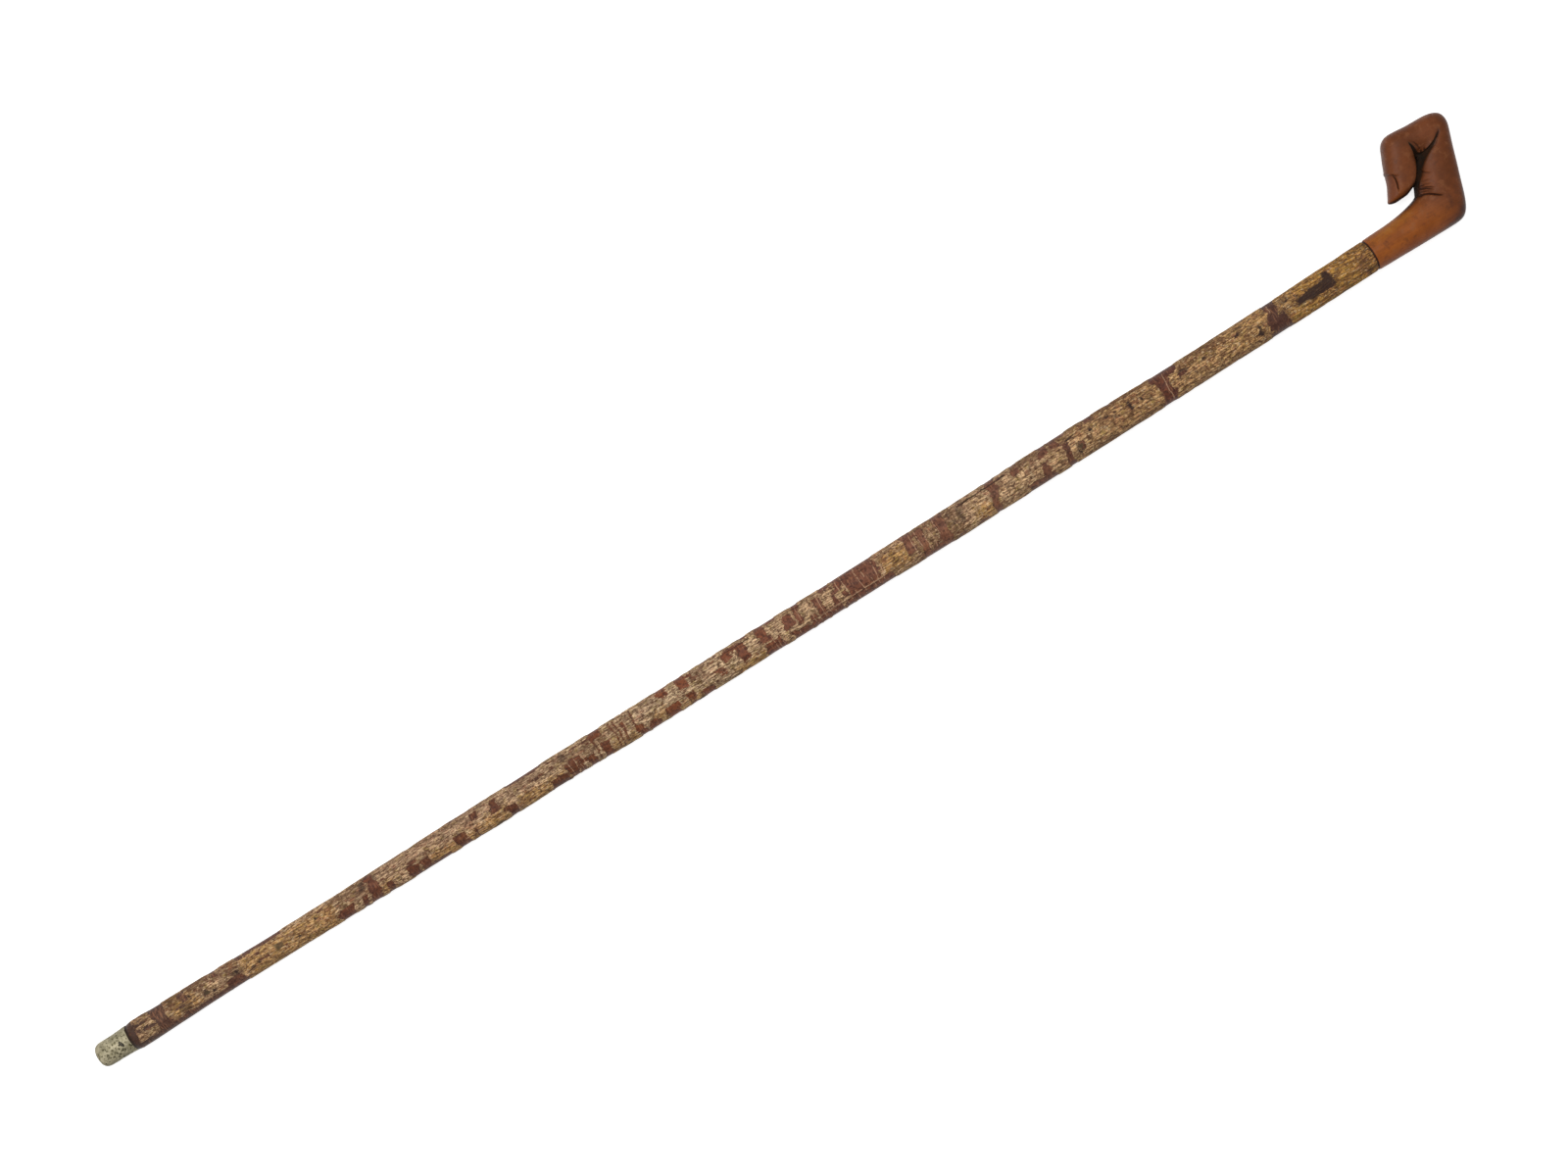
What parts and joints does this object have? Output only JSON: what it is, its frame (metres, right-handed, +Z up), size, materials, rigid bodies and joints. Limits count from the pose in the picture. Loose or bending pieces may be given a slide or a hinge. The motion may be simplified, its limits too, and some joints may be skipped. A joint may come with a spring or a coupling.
{
  "type": "carved walking stick",
  "caption": "Walking stick: a natural shaft with ridged bark, a handle carved as a curled finger and a metal foot cup.",
  "frame": {"origin": "middle of the box's underside: the stick lies on its side on the plane z = 0", "axes": "+X along the shaft from the foot to the handle, +Y across it in the plane of the crook towards the fingertip, +Z up"},
  "size_m": [0.898, 0.0612, 0.021],
  "materials": {
    "carved_fruitwood": "polished reddish-brown fruitwood with dark creases",
    "dark_glue": "dark set glue",
    "steel_stud": "plain steel",
    "stick_wood": "bare pale wood, hidden under the bark",
    "ridged_bark": "tan ridged bark over smooth maroon-brown bands",
    "pewter_cup": "dull, pitted, greenish-grey metal",
    "iron_heel": "worn dark iron",
    "iron_pin": "dark iron"
  },
  "bodies": {
    "root": {"finger_handle": "carved_fruitwood", "joint_glue": "dark_glue", "joining_stud": "steel_stud", "shaft_wood": "stick_wood", "shaft_bark": "ridged_bark", "ferrule_cup": "pewter_cup", "ferrule_heel": "iron_heel", "ferrule_pin": "iron_pin"}
  },
  "joints": []
}
